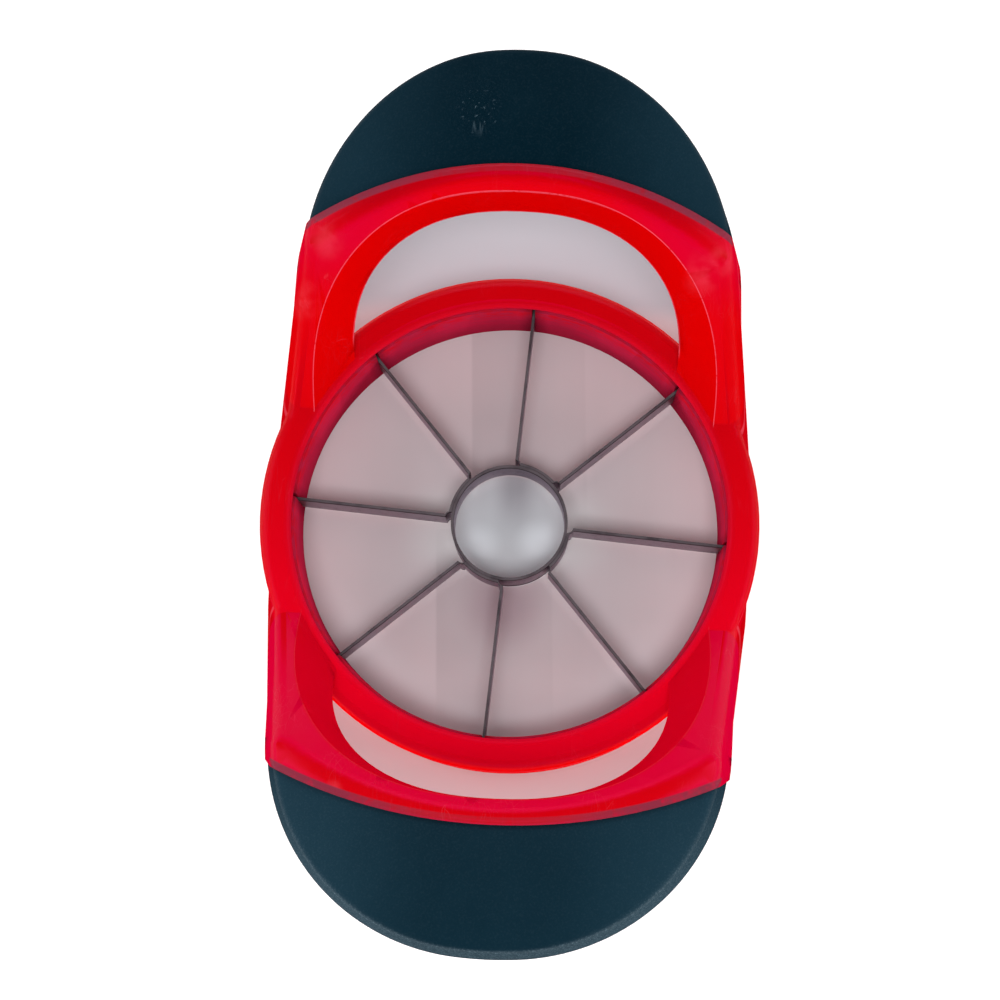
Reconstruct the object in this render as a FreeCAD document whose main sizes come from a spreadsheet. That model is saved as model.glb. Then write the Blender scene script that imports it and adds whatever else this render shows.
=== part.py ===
import FreeCAD, Part
import math
import os
import re
import Sketcher

# Push-down apple slicer and corer, in millimetres.
# The ring lies flat in XY with its lower edge at Z = 0 and its centre on the Z axis.
# The two handles reach out along +Y and -Y and rise to a level top.

SIZES = (
    # The round frame that passes over the fruit.
    ("ring_inner_radius", 45.0),
    ("ring_width", 6.6),
    ("ring_height", 17.2),
    ("ring_rim_round", 1.5),
    ("ring_edge_round", 2.4),
    # The handle loops, as seen from the side.
    ("rise_start", 21.2),
    ("rise_angle", 45.0),
    ("crest_height", 53.4),
    ("end_rise", 10.7),
    ("handle_depth", 11.0),
    ("crown_radius", 88.0),
    ("foot_relief_width", 2.4),
    ("foot_relief_height", 4.0),
    # The handle loops, as seen from above, at the table.
    ("side_inset", 0.4),
    ("end_setback", 4.5),
    ("end_corner_radius", 48.9),
    ("end_radius", 75.0),
    ("side_draft", 12.0),
    ("shoulder_round", 3.6),
    # The hand opening: its ridge on top and its lip below.
    ("ridge_half_width", 41.4),
    ("ridge_start", 22.7),
    ("ridge_reach", 5.4),
    ("lip_half_width", 33.6),
    ("lip_start", 33.6),
    ("lip_reach", 5.3),
    ("opening_squareness", 2.33),
    # The hollow underside.
    ("frame_wall", 2.2),
    ("opening_wall", 2.75),
    ("grip_edge_wall", 4.4),
    ("rib_thickness", 1.6),
    ("rib_spacing", 19.0),
    ("rib_drop", 3.0),
    # The soft grips.
    ("grip_thickness", 2.2),
    ("grip_step", 0.45),
    ("crest_band", 4.1),
    ("grip_edge_radius", 105.0),
    # The ring that holds the blades, seated under the rim of the frame.
    ("carrier_lip", 0.5),
    ("carrier_lap", 2.4),
    ("carrier_chamfer", 0.3),
    ("rim_thickness", 1.8),
    ("carrier_clearance", 0.05),
    # The blades and the coring tube.
    ("blade_bottom", 1.2),
    ("blade_height", 10.0),
    ("blade_thickness", 0.55),
    ("blade_bevel", 1.6),
    ("blade_edge", 0.15),
    ("blade_turn", 4.2),
    ("strip_count", 4),
    ("bend_radius", 0.9),
    ("slot_floor", 0.7),
    ("slot_clearance", 0.05),
    ("core_outer_radius", 12.2),
    ("core_wall", 0.6),
    ("weld_gap", 0.05),
)

doc = FreeCAD.newDocument("apple_slicer")
sheet = doc.addObject("Spreadsheet::Sheet", "Sizes")
for row, (alias, value) in enumerate(SIZES, 1):
    sheet.set(f"A{row}", alias)
    sheet.set(f"B{row}", str(value))
    sheet.setAlias(f"B{row}", alias)
doc.recompute()

ALIAS = re.compile(r"\b(" + "|".join(alias for alias, value in SIZES) + r")\b")
UP = FreeCAD.Vector(0, 0, 1)
ORIGIN = FreeCAD.Vector(0, 0, 0)
FLAT = FreeCAD.Rotation()
UPRIGHT_XZ = FreeCAD.Rotation(FreeCAD.Vector(1, 0, 0), 90)
UPRIGHT_YZ = FreeCAD.Rotation(FreeCAD.Vector(1, 1, 1), 120)
ALONG_X = FreeCAD.Vector(1, 0, 0)
BEYOND = 20.0  # how far a cutting tool runs past what it cuts
OVERSHOOT = 0.5  # the same for the opening, as a share of the handle's depth
ARCH_STEPS = 12
NOTHING = 1e-9  # a length that counts as none
LEAN = 0.5  # a face looks up, down or inboard when that part of its normal is over this
TRACE = 0.01  # a part of a normal that counts as none
LEAST_TURN = 10  # an edge that turns less than this many degrees counts as smooth
SHOULDER_STAGES = 2  # each stage halves the turn at the edges of a grip's shoulder
RIM_FLATS = 3  # flats that stand for each round of the ring

# Sizes that follow from the driving ones.
RING_OUTER = "(ring_inner_radius + ring_width)"
HANDLE_HALF = f"({RING_OUTER} - side_inset)"
END_CENTRE = f"({RING_OUTER} - end_setback)"
FAR_END = f"({END_CENTRE} + {HANDLE_HALF} + {BEYOND})"
CREST = "(rise_start + (crest_height - ring_height) / tan(rise_angle))"
ABOVE = f"(crest_height + {BEYOND})"
CARRIER_INNER = "(ring_inner_radius - carrier_lip)"
CARRIER_OUTER = "(ring_inner_radius + carrier_lap)"
CARRIER_TOP = "(ring_height - rim_thickness)"
SLOT_END = f"({CARRIER_OUTER} - slot_floor)"
BLADE_PITCH = "(180 deg / strip_count)"


def bound(text):
    """The expression with every size name pointing at its cell."""
    return ALIAS.sub(r"Sizes.\1", str(text))


def number(text):
    """The value of an expression in the sizes."""
    return float(sheet.evalExpression(bound(text)))


def bind(item, **expressions):
    """Tie properties of an object to expressions in the sizes."""
    for name, text in expressions.items():
        setattr(item, name, number(text))
        item.setExpression(name, bound(text))
    return item


def draw(sketch, corners):
    """Close an outline through corners given as (x, y) or (x, y, radius, turn).

    A corner with a radius starts an arc to the next one, to the left when turn is 1.
    """
    points = [FreeCAD.Vector(number(corner[0]), number(corner[1]), 0) for corner in corners]
    count = len(corners)
    first = sketch.GeometryCount
    starts = []
    for index, corner in enumerate(corners):
        start = points[index]
        end = points[(index + 1) % count]
        if len(corner) == 2:
            sketch.addGeometry(Part.LineSegment(start, end))
            starts.append(1)
            continue
        radius = number(corner[2])
        chord = end - start
        aside = FreeCAD.Vector(-chord.y, chord.x, 0).normalize()
        inward = math.sqrt(max(radius ** 2 - chord.Length ** 2 / 4, 0))
        centre = (start + end) / 2 + aside * inward * corner[3]
        angles = [math.atan2(point.y - centre.y, point.x - centre.x) for point in (start, end)]
        if corner[3] < 0:
            angles.reverse()
        sketch.addGeometry(Part.ArcOfCircle(Part.Circle(centre, UP, radius), *angles))
        starts.append(1 if corner[3] > 0 else 2)
    for index, corner in enumerate(corners):
        here = first + index
        after = (index + 1) % count
        sketch.addConstraint(
            Sketcher.Constraint("Coincident", here, 3 - starts[index], first + after, starts[after])
        )
        for axis, kind, text in ((-2, "DistanceX", corner[0]), (-1, "DistanceY", corner[1])):
            size = number(text)
            if abs(size) < NOTHING:
                sketch.addConstraint(Sketcher.Constraint("PointOnObject", here, starts[index], axis))
                continue
            place = sketch.addConstraint(
                Sketcher.Constraint(kind, -1, 1, here, starts[index], size)
            )
            sketch.setExpression(f"Constraints[{place}]", bound(text))
        if len(corner) > 2:
            place = sketch.addConstraint(Sketcher.Constraint("Radius", here, number(corner[2])))
            sketch.setExpression(f"Constraints[{place}]", bound(corner[2]))


def outline(name, rotation, corners):
    """A free sketch of one closed outline."""
    sketch = doc.addObject("Sketcher::SketchObject", name)
    sketch.Placement = FreeCAD.Placement(ORIGIN, rotation)
    draw(sketch, corners)
    return sketch


def extrude(name, sketch, length, symmetric=False):
    """A solid pushed out of a sketch along its normal."""
    solid = doc.addObject("Part::Extrusion", name)
    solid.Base = sketch
    solid.DirMode = "Normal"
    solid.Solid = True
    solid.Symmetric = symmetric
    return bind(solid, LengthFwd=length)


def cylinder(name, radius, height, bottom="0"):
    """An upright round solid on the Z axis."""
    solid = bind(doc.addObject("Part::Cylinder", name), Radius=radius, Height=height)
    solid.setExpression("Placement.Base.z", bound(bottom))
    return solid


def combined(kind, name, parts):
    """A fusion or a common solid of several objects."""
    solid = doc.addObject(kind, name)
    solid.Shapes = parts
    return solid


def cut(name, base, tool):
    solid = doc.addObject("Part::Cut", name)
    solid.Base = base
    solid.Tool = tool
    return solid


def mirrored(name, source):
    """The same solid on the -Y side."""
    solid = doc.addObject("Part::Mirroring", name)
    solid.Source = source
    solid.Normal = FreeCAD.Vector(0, 1, 0)
    return solid


# ---------------------------------------------------------------- handle forms

def handle_slope(name, foot):
    """Everything outboard of an even rise that starts from the table at a given Y."""
    corners = (
        (f"{foot} - {BEYOND} / tan(rise_angle)", f"-{BEYOND}"),
        (FAR_END, f"-{BEYOND}"),
        (FAR_END, ABOVE),
        (f"{foot} + {ABOVE} / tan(rise_angle)", ABOVE),
    )
    sketch = outline(f"{name}_side", UPRIGHT_YZ, corners)
    return extrude(f"{name}_slope", sketch, f"2 * ({HANDLE_HALF} + {BEYOND})", True)


def handle_crown(name, inset):
    """The round back of a handle: a large cylinder that rises a little past the crest."""
    crown = doc.addObject("Part::Cylinder", f"{name}_crown")
    bind(crown, Radius=f"crown_radius - ({inset})", Height=FAR_END)
    crown.Placement.Rotation = FreeCAD.Rotation(ALONG_X, number("end_rise") - 90)
    axis = f"crest_height - crown_radius - {CREST} * tan(end_rise)"
    crown.setExpression("Placement.Base.z", bound(axis))
    return crown


def handle_column(name, inset):
    """The plan of a handle, straight sides and a round end of three arcs, drawn in upwards."""
    inward = f"({inset}) / cos(side_draft)"
    half = f"({HANDLE_HALF} - {inward})"
    corner = f"(end_corner_radius - {inward})"
    end = f"(end_radius - {inward})"
    turn = f"asin(({HANDLE_HALF} - end_corner_radius) / (end_radius - end_corner_radius))"
    centre = f"({END_CENTRE} - (end_radius - end_corner_radius) * cos({turn}))"
    joint_x = f"{end} * sin({turn})"
    joint_y = f"{centre} + {end} * cos({turn})"
    corners = (
        (half, f"-{BEYOND}"),
        (half, END_CENTRE, corner, 1),
        (joint_x, joint_y, end, 1),
        (f"-{joint_x}", joint_y, corner, 1),
        (f"-{half}", END_CENTRE),
        (f"-{half}", f"-{BEYOND}"),
    )
    body = doc.addObject("PartDesign::Body", f"{name}_column")
    sketch = body_sketch(body, f"{name}_plan", "XY_Plane", corners)
    pad = body.newObject("PartDesign::Pad", f"{name}_pad")
    pad.Profile = sketch
    bind(pad, Length=ABOVE)
    doc.recompute()
    walls = [
        f"Face{index}"
        for index, face in enumerate(pad.Shape.Faces, 1)
        if abs(face.normalAt(*face.Surface.parameter(face.CenterOfMass)).z) < LEAN
    ]
    draft = body.newObject("PartDesign::Draft", f"{name}_draft")
    draft.Base = (pad, walls)
    draft.NeutralPlane = (origin_plane(body, "XY_Plane"), [""])
    bind(draft, Angle="side_draft")
    return body


def handle_top_form(name, inset):
    """What lies under the back of a handle and within its plan, without the rise."""
    forms = [handle_crown(name, inset), handle_column(name, inset)]
    return combined("Part::MultiCommon", f"{name}_top", forms)


def handle_block(name, inset):
    """A handle with sharp edges, inset evenly from the outer surface and solid down to the table."""
    foot = f"(rise_start - ring_height / tan(rise_angle) + ({inset}) / sin(rise_angle))"
    forms = [handle_slope(name, foot), handle_top_form(name, inset)]
    return combined("Part::MultiCommon", f"{name}_block", forms)


def sharp_edges(shape, looks_inboard):
    """Numbers and turns of the edges that can be eased, the turns in radians.

    Both faces of such an edge look up or sideways, and inboard only where that is asked for.
    """
    chosen = []
    for index, edge in enumerate(shape.Edges, 1):
        middle = edge.valueAt((edge.FirstParameter + edge.LastParameter) / 2)
        faces = shape.ancestorsOfType(edge, Part.Face)
        normals = [face.normalAt(*face.Surface.parameter(middle)) for face in faces]
        if len(normals) != 2 or min(normal.z for normal in normals) < -TRACE:
            continue
        turn = normals[0].getAngle(normals[1])
        inboard = min(normal.y for normal in normals) < -LEAN
        if math.degrees(turn) > LEAST_TURN and (looks_inboard or not inboard):
            chosen.append((index, turn))
    return chosen


def outside_form():
    """A handle with its crest and its shoulders rounded, solid down to the table."""
    block = handle_block("outside", "0")
    doc.recompute()
    size = number("shoulder_round")
    solid = doc.addObject("Part::Fillet", "outside_form")
    solid.Base = block
    solid.Edges = [(index, size, size) for index, turn in sharp_edges(block.Shape, True)]
    return solid


def skin_form():
    """The outer form of a grip, its shoulder eased in stages by flats that touch an even round."""
    form = handle_top_form("skin", "grip_step")
    size = number("shoulder_round - grip_step")
    for stage in range(SHOULDER_STAGES):
        doc.recompute()
        flats = []
        for index, turn in sharp_edges(form.Shape, False):
            depth = size * (math.tan(turn / 2) - math.tan(turn / 4))
            flats.append((index, depth, depth))
        eased = doc.addObject("Part::Chamfer", f"skin_eased_{stage + 1}")
        eased.Base = form
        eased.Edges = flats
        form = eased
    return form


def underside(name, depth):
    """What lies under a handle whose shell is a given depth."""
    foot = f"(rise_start + (({depth}) - ring_height) / tan(rise_angle))"
    forms = [handle_slope(name, foot), handle_crown(name, depth)]
    return combined("Part::MultiCommon", name, forms)


def arch_wire(half_width, start, end, height):
    """The outline of the hand opening on a plane parallel to the rise.

    The plane lies the given height above the rise, and start and end are in plan.
    """
    angle = math.radians(number("rise_angle"))
    squareness = number("opening_squareness")
    base = FreeCAD.Vector(0, number("rise_start"), number("ring_height") + height)
    along = FreeCAD.Vector(0, math.cos(angle), math.sin(angle))
    origin_y = number("rise_start")

    def place(x, y):
        return base + FreeCAD.Vector(x, 0, 0) + along * ((y - origin_y) / math.cos(angle))

    points = []
    for step in range(ARCH_STEPS + 1):
        turn = math.pi * step / ARCH_STEPS
        across = math.copysign(abs(math.cos(turn)) ** (2 / squareness), math.cos(turn))
        along_arch = (end - start) * math.sin(turn) ** (2 / squareness)
        points.append(place(half_width * across, start + along_arch))
    curve = Part.BSplineCurve()
    curve.interpolate(points)
    low_right = place(half_width, origin_y - BEYOND)
    low_left = place(-half_width, origin_y - BEYOND)
    return Part.Wire([
        curve.toShape(),
        Part.makeLine(points[-1], low_left),
        Part.makeLine(low_left, low_right),
        Part.makeLine(low_right, points[0]),
    ])


def opening_plug(name, outset="0"):
    """What the hand opening removes: it narrows evenly from the ridge down to the lip."""

    def between(ridge, lip, share):
        return number(lip) + (number(ridge) - number(lip)) * share

    wires = []
    for share in (-OVERSHOOT, 1 + OVERSHOOT):
        half_width = between("ridge_half_width", "lip_half_width", share)
        start = between("ridge_start", "lip_start", share)
        end = number(RING_OUTER) + between("ridge_reach", "lip_reach", share)
        height = number("handle_depth") * (share - 1)
        wires.append(arch_wire(half_width + number(outset), start, end + number(outset), height))
    plug = doc.addObject("Part::Feature", name)
    plug.Shape = Part.makeLoft(wires, True, True)
    return plug


def grip_zone(name, margin="0"):
    """Everything outboard of the edge where the soft grip begins, just past the crest."""
    edge = f"({CREST} + crest_band - ({margin}))"
    half = f"({HANDLE_HALF} + {BEYOND})"
    drop = f"(grip_edge_radius - sqrt(grip_edge_radius ^ 2 - {half} ^ 2))"
    corners = (
        ("0", edge, "grip_edge_radius", -1),
        (half, f"{edge} - {drop}"),
        (half, FAR_END),
        (f"-{half}", FAR_END),
        (f"-{half}", f"{edge} - {drop}", "grip_edge_radius", -1),
    )
    sketch = outline(f"{name}_plan", FLAT, corners)
    return extrude(name, sketch, ABOVE)


def handle_ribs():
    """Stiffening ribs under the handle end, stopping short of its lower edge."""
    below = underside("rib_limit", "handle_depth - rib_drop")
    ribs = []
    for place in (-1, 0, 1):
        plate = doc.addObject("Part::Box", f"rib_plate_{place + 2}")
        bind(plate, Length="rib_thickness", Width=HANDLE_HALF, Height=ABOVE)
        plate.setExpression("Placement.Base.x", bound(f"{place} * rib_spacing - rib_thickness / 2"))
        plate.setExpression("Placement.Base.y", bound(END_CENTRE))
        ribs.append(cut(f"rib_{place + 2}", plate, below))
    return ribs


# ---------------------------------------------------------------- frame and grips

def turned(name, corners):
    """A solid turned about the Z axis from a section in XZ."""
    solid = doc.addObject("Part::Revolution", name)
    solid.Source = outline(f"{name}_section", UPRIGHT_XZ, corners)
    solid.Axis = UP
    solid.Angle = 360
    solid.Solid = True
    return solid


def eased_edge(centre, radius, start):
    """Corners of flats that stand for a quarter round at the top of the ring."""
    angles = [start + 90 * step / RIM_FLATS for step in range(RIM_FLATS + 1)]
    return [
        (f"{centre} + {radius} * cos({angle} deg)",
         f"ring_height - {radius} * (1 - sin({angle} deg))")
        for angle in angles
    ]


def ring_blank():
    """The turned shape of the round frame, with its eased outer edge and inner rim."""
    foot = [("ring_inner_radius", "0"), (RING_OUTER, "0")]
    outer_edge = eased_edge(f"{RING_OUTER} - ring_edge_round", "ring_edge_round", 0)
    inner_rim = eased_edge("ring_inner_radius + ring_rim_round", "ring_rim_round", 90)
    return turned("ring_blank", foot + outer_edge + inner_rim)


def foot_relief():
    """Brings the feet of the rails in to the wall of the ring where they reach the table."""
    reach = f"{RING_OUTER} + foot_relief_width"
    return turned("foot_relief", ((RING_OUTER, "0"), (reach, "0"), (reach, "foot_relief_height")))


def handle_hollow(zone):
    """The space under a handle: an even wall all round, with ribs left standing in it."""
    rail_core = handle_block("rail_core", "frame_wall")
    end_core = handle_block("end_core", "grip_thickness + frame_wall")
    under_rail = cut("under_rail", rail_core, grip_zone("rail_limit", "grip_edge_wall"))
    under_end = combined("Part::MultiCommon", "under_end", [end_core, zone])
    core = combined("Part::MultiFuse", "core", [under_end, under_rail])
    flank = opening_plug("flank", "opening_wall")
    ring_guard = cylinder("ring_guard", RING_OUTER, "ring_height")
    keep = combined("Part::MultiFuse", "core_keep", [flank, ring_guard] + handle_ribs())
    return cut("hollow", core, keep)


def build_frame_and_grips():
    below = underside("underside", "handle_depth")
    outer = cut("outer", outside_form(), below)
    seat = handle_top_form("seat", "grip_thickness")
    zone = grip_zone("grip_zone")

    bore = cylinder("bore", "ring_inner_radius + ring_rim_round", ABOVE)
    recess = cut("grip_recess", zone, seat)
    tools = [opening_plug("opening"), bore, foot_relief(), handle_hollow(zone), recess]
    loop = cut("loop_back", outer, combined("Part::MultiFuse", "loop_tools", tools))
    loops = [ring_blank(), loop, mirrored("loop_front", loop)]
    carrier_seat = cylinder("carrier_seat", CARRIER_OUTER, CARRIER_TOP)
    frame = cut("body_frame", combined("Part::MultiFuse", "frame", loops), carrier_seat)

    skin_end = combined("Part::MultiCommon", "skin_end", [skin_form(), zone])
    grip_back = cut("grip_back", skin_end, combined("Part::MultiFuse", "grip_core", [seat, below]))
    return [frame, grip_back, mirrored("grip_front", grip_back)]


# ---------------------------------------------------------------- blades and tube

def origin_plane(body, role):
    return next(item for item in body.Origin.OriginFeatures if item.Role == role)


def body_sketch(body, name, role, corners, lift="0"):
    """A sketch on one of a body's own origin planes, or lifted parallel to it."""
    sketch = body.newObject("Sketcher::SketchObject", name)
    sketch.AttachmentSupport = (origin_plane(body, role), [""])
    sketch.MapMode = "FlatFace"
    sketch.setExpression("AttachmentOffset.Base.z", bound(lift))
    draw(sketch, corners)
    return sketch


def turned_body(name, corners):
    """A body turned about the Z axis from its section."""
    body = doc.addObject("PartDesign::Body", name)
    body.Label = name
    sketch = body_sketch(body, f"{name}_section", "XZ_Plane", corners)
    turn = body.newObject("PartDesign::Revolution", f"{name}_turn")
    turn.Profile = sketch
    turn.ReferenceAxis = (sketch, ["V_Axis"])
    turn.Angle = 360
    return body


def build_core_ring():
    """The coring tube, ground from the inside to a cutting edge at the bottom."""
    inner = "core_outer_radius - core_wall"
    top = "blade_bottom + blade_height"
    return turned_body("core_ring", (
        (inner, "blade_bottom + blade_bevel"),
        ("core_outer_radius - blade_edge", "blade_bottom"),
        ("core_outer_radius", "blade_bottom"),
        ("core_outer_radius", top),
        (inner, top),
    ))


def build_carrier():
    """The carrier ring, with one slot for each blade end, open at the top."""
    outer = f"{CARRIER_OUTER} - carrier_clearance"
    body = turned_body("blade_carrier_ring", (
        (CARRIER_INNER, "0"),
        (outer, "0"),
        (outer, CARRIER_TOP),
        (f"{CARRIER_INNER} + carrier_chamfer", CARRIER_TOP),
        (CARRIER_INNER, f"{CARRIER_TOP} - carrier_chamfer"),
    ))
    half = "(blade_thickness / 2 + slot_clearance)"
    mouth = f"{CARRIER_INNER} - {BEYOND}"
    slot = ((mouth, f"-{half}"), (SLOT_END, f"-{half}"), (SLOT_END, half), (mouth, half))
    sketch = body_sketch(body, "slot_plan", "XY_Plane", slot, "blade_bottom")
    doc.recompute()
    pocket = body.newObject("PartDesign::Pocket", "slot")
    pocket.Profile = sketch
    pocket.Reversed = True
    bind(pocket, Length=f"ring_height + {BEYOND}")
    doc.recompute()
    pattern = body.newObject("PartDesign::PolarPattern", "slots")
    pattern.Originals = [pocket]
    pattern.Axis = (sketch, ["N_Axis"])
    pattern.Angle = 360
    pattern.Occurrences = int(number("2 * strip_count"))
    pattern.setExpression("Occurrences", bound("2 * strip_count"))
    body.Tip = pattern
    body.Placement.Rotation = FreeCAD.Rotation(UP, 90 - number("blade_turn"))
    return body


def strip_corners(thickness):
    """The plan of one strip: a blade, a bend, an arc on the tube, a bend and a blade.

    The first blade lies along +X and the second one blade pitch to the right of it.
    """
    middle = "(core_outer_radius + weld_gap + blade_thickness / 2)"
    hub = f"({middle} + bend_radius)"
    swing = f"asin(bend_radius / {hub})"
    start = f"sqrt({hub} ^ 2 - bend_radius ^ 2)"
    tip = f"({SLOT_END} - slot_clearance)"
    half = f"({thickness} / 2)"

    def spot(radius, angle, aside="0"):
        """A point at a radius and angle, moved aside at right angles to the left."""
        return (
            f"({radius}) * cos({angle}) - ({aside}) * sin({angle})",
            f"({radius}) * sin({angle}) + ({aside}) * cos({angle})",
        )

    inner = f"({middle} - {half})"
    outer = f"({middle} + {half})"
    tight = f"(bend_radius - {half})"
    wide = f"(bend_radius + {half})"
    first = "0 deg"
    last = f"(-{BLADE_PITCH})"
    return (
        spot(tip, first, half),
        spot(start, first, half) + (wide, -1),
        spot(inner, f"-{swing}") + (inner, -1),
        spot(inner, f"{last} + {swing}") + (wide, -1),
        spot(start, last, f"-{half}"),
        spot(tip, last, f"-{half}"),
        spot(tip, last, half),
        spot(start, last, half) + (tight, 1),
        spot(outer, f"{last} + {swing}") + (outer, 1),
        spot(outer, f"-{swing}") + (tight, 1),
        spot(start, first, f"-{half}"),
        spot(tip, first, f"-{half}"),
    )


def build_strips():
    """The bent strips, each ground to a cutting edge along its bottom."""
    strips = []
    for index in range(int(number("strip_count"))):
        name = f"blade_strip_{index + 1}"
        body = doc.addObject("PartDesign::Body", name)
        body.Label = name
        shoulder = "blade_bottom + blade_bevel"
        full = strip_corners("blade_thickness")
        plan = body_sketch(body, f"{name}_plan", "XY_Plane", full, shoulder)
        pad = body.newObject("PartDesign::Pad", f"{name}_pad")
        pad.Profile = plan
        bind(pad, Length="blade_height - blade_bevel")
        thin = strip_corners("blade_edge")
        edge = body_sketch(body, f"{name}_edge", "XY_Plane", thin, "blade_bottom")
        bevel = body.newObject("PartDesign::AdditiveLoft", f"{name}_bevel")
        bevel.Profile = edge
        bevel.Sections = [plan]
        bevel.Ruled = True
        turn = 90 - number("blade_turn") - index * number("360 / strip_count")
        body.Placement.Rotation = FreeCAD.Rotation(UP, turn)
        strips.append(body)
    return strips


# ---------------------------------------------------------------- build and export

parts = build_frame_and_grips()
parts.append(build_carrier())
parts.append(build_core_ring())
parts.extend(build_strips())
doc.recompute()

for item in doc.Objects:
    if "Invalid" in item.State or "Error" in item.State:
        raise RuntimeError(f"{item.Name} did not build: {item.State}")
for part in parts:
    if part.Shape.isNull() or not part.Shape.isValid():
        raise RuntimeError(f"{part.Label} has no valid shape")

os.makedirs("parts", exist_ok=True)
for part in parts:
    part.Shape.exportStep(os.path.join("parts", part.Label + ".step"))
    box = part.Shape.optimalBoundingBox()
    print(
        f"{part.Label}: {len(part.Shape.Solids)} solid, {part.Shape.Volume:.0f} mm3,"
        f" {box.XLength:.1f} x {box.YLength:.1f} x {box.ZLength:.1f} mm"
    )
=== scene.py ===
import math

import bpy
from mathutils import Matrix, Vector


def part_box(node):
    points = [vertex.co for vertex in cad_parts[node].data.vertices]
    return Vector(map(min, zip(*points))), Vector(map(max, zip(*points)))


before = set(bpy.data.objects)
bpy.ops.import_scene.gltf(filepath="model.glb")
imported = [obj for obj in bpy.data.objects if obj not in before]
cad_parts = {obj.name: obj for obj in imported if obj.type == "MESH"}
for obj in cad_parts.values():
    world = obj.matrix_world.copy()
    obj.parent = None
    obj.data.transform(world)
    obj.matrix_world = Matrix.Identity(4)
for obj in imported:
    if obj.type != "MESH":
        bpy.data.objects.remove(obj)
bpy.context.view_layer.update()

# A push-down apple slicer: glossy red moulded frame, matte dark grips, thin bent steel blades.
# Lengths are in metres unless a name ends in _MM, and shaders work in millimetres.
# A mask's pair of values is where it starts and where it is full, and a band's three values are
# its low side, its high side and how soft they are. A name with PLACE holds an x and a y. A name
# in _SLOPE is a pair for the upward part of a surface's direction: 1 on a level top, 0 on a wall.

MM = 0.001


# ---------------------------------------------------------------- places

def in_mm(length):
    """A length of the frame in millimetres, to the nearest micrometre."""
    return round(length / MM, 3)


FRAME_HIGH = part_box("body_frame")[1]
CARRIER_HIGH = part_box("blade_carrier_ring")[1]
TUBE_LOW, TUBE_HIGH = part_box("core_ring")

# The ring and the carrier in it. Its painted edge highlight and glow start just inside its widest
# line.
EDGE_INSET_MM = 0.2
RIM_ABOVE_CARRIER_MM = 1.8
CARRIER_TOP_MM = in_mm(CARRIER_HIGH.z)
RING_TOP_MM = CARRIER_TOP_MM + RIM_ABOVE_CARRIER_MM
RING_SIDE_MM = in_mm(FRAME_HIGH.x) - EDGE_INSET_MM
RING_RIM_MM = 46.5
RING_BORE_MM = 45.0

# The handles: their slope, the ridge round each hand opening, and the edge beside each grip.
RISE_START_MM = 21.2
LIP_DEPTH_MM = 10.7
RIDGE_HALF_WIDTH_MM = 41.4
RIDGE_START_MM = 22.7
RIDGE_LENGTH_MM = 34.3
RIDGE_SQUARENESS = 2.33
GRIP_EDGE_RADIUS_MM = 105.0
GRIP_EDGE_MM = 61.5

# The blades are as high as the tube.
BLADE_LOW_MM = in_mm(TUBE_LOW.z)
BLADE_TOP_MM = in_mm(TUBE_HIGH.z)
TUBE_RADIUS_MM = in_mm(TUBE_HIGH.x)
BLADE_COUNT = 8
BLADE_PITCH = math.tau / BLADE_COUNT
BLADE_TURN = math.radians(4.2)

# Masks along Y for one half of the object. The front is at negative Y.
FRONT_HALF_MM = (5.0, -5.0)
BACK_HALF_MM = (-5.0, 5.0)


# ---------------------------------------------------------------- shader nodes

def node(tree, kind, inputs=(), **settings):
    """A shader node with its settings, and inputs that are values or sockets."""
    made = tree.nodes.new(kind)
    for key, value in settings.items():
        setattr(made, key, value)
    for key, value in dict(inputs).items():
        if isinstance(value, bpy.types.NodeSocket):
            tree.links.new(value, made.inputs[key])
        else:
            made.inputs[key].default_value = value
    return made


def calc(tree, operation, first, second=0.0):
    """One step of arithmetic."""
    return node(tree, "ShaderNodeMath", {0: first, 1: second}, operation=operation).outputs[0]


def plus(tree, first, second):
    """The sum of two values."""
    return calc(tree, "ADD", first, second)


def minus(tree, first, second):
    """The first value less the second."""
    return calc(tree, "SUBTRACT", first, second)


def times(tree, first, *others):
    """The product of all the values."""
    for other in others:
        first = calc(tree, "MULTIPLY", first, other)
    return first


def most(tree, first, *others):
    """The greatest of the values."""
    for other in others:
        first = calc(tree, "MAXIMUM", first, other)
    return first


def unsigned(tree, value):
    """The value without its sign."""
    return calc(tree, "ABSOLUTE", value)


def fade(tree, value, low, high):
    """0 at low and 1 at high, with a smooth step between them. Low may be the greater one."""
    inputs = {"Value": value, "From Min": low, "From Max": high}
    if low > high:
        inputs = {"Value": value, "From Min": high, "From Max": low, "To Min": 1.0, "To Max": 0.0}
    made = node(tree, "ShaderNodeMapRange", inputs, interpolation_type="SMOOTHSTEP")
    return made.outputs["Result"]


def band(tree, value, low, high, soft):
    """1 between low and high, with soft edges outside them."""
    return times(tree, fade(tree, value, low - soft, low), fade(tree, value, high + soft, high))


def stretch(tree, vector, scale):
    """The vector times a scale along each axis."""
    inputs = {0: vector, 1: scale}
    return node(tree, "ShaderNodeVectorMath", inputs, operation="MULTIPLY").outputs[0]


def noise(tree, vector, scale=1.0, detail=2.0, roughness=0.5):
    """Smooth noise round 0.5."""
    inputs = {"Vector": vector, "Scale": scale, "Detail": detail, "Roughness": roughness}
    return node(tree, "ShaderNodeTexNoise", inputs).outputs["Fac"]


def blend(tree, factor, first, second):
    """A mix of two colours."""
    made = node(tree, "ShaderNodeMix", {0: factor}, data_type="RGBA")
    sockets = [socket for socket in made.inputs if socket.type == "RGBA"]
    for socket, value in zip(sockets, (first, second)):
        if isinstance(value, bpy.types.NodeSocket):
            tree.links.new(value, socket)
        else:
            socket.default_value = value
    return next(socket for socket in made.outputs if socket.type == "RGBA")


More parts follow.
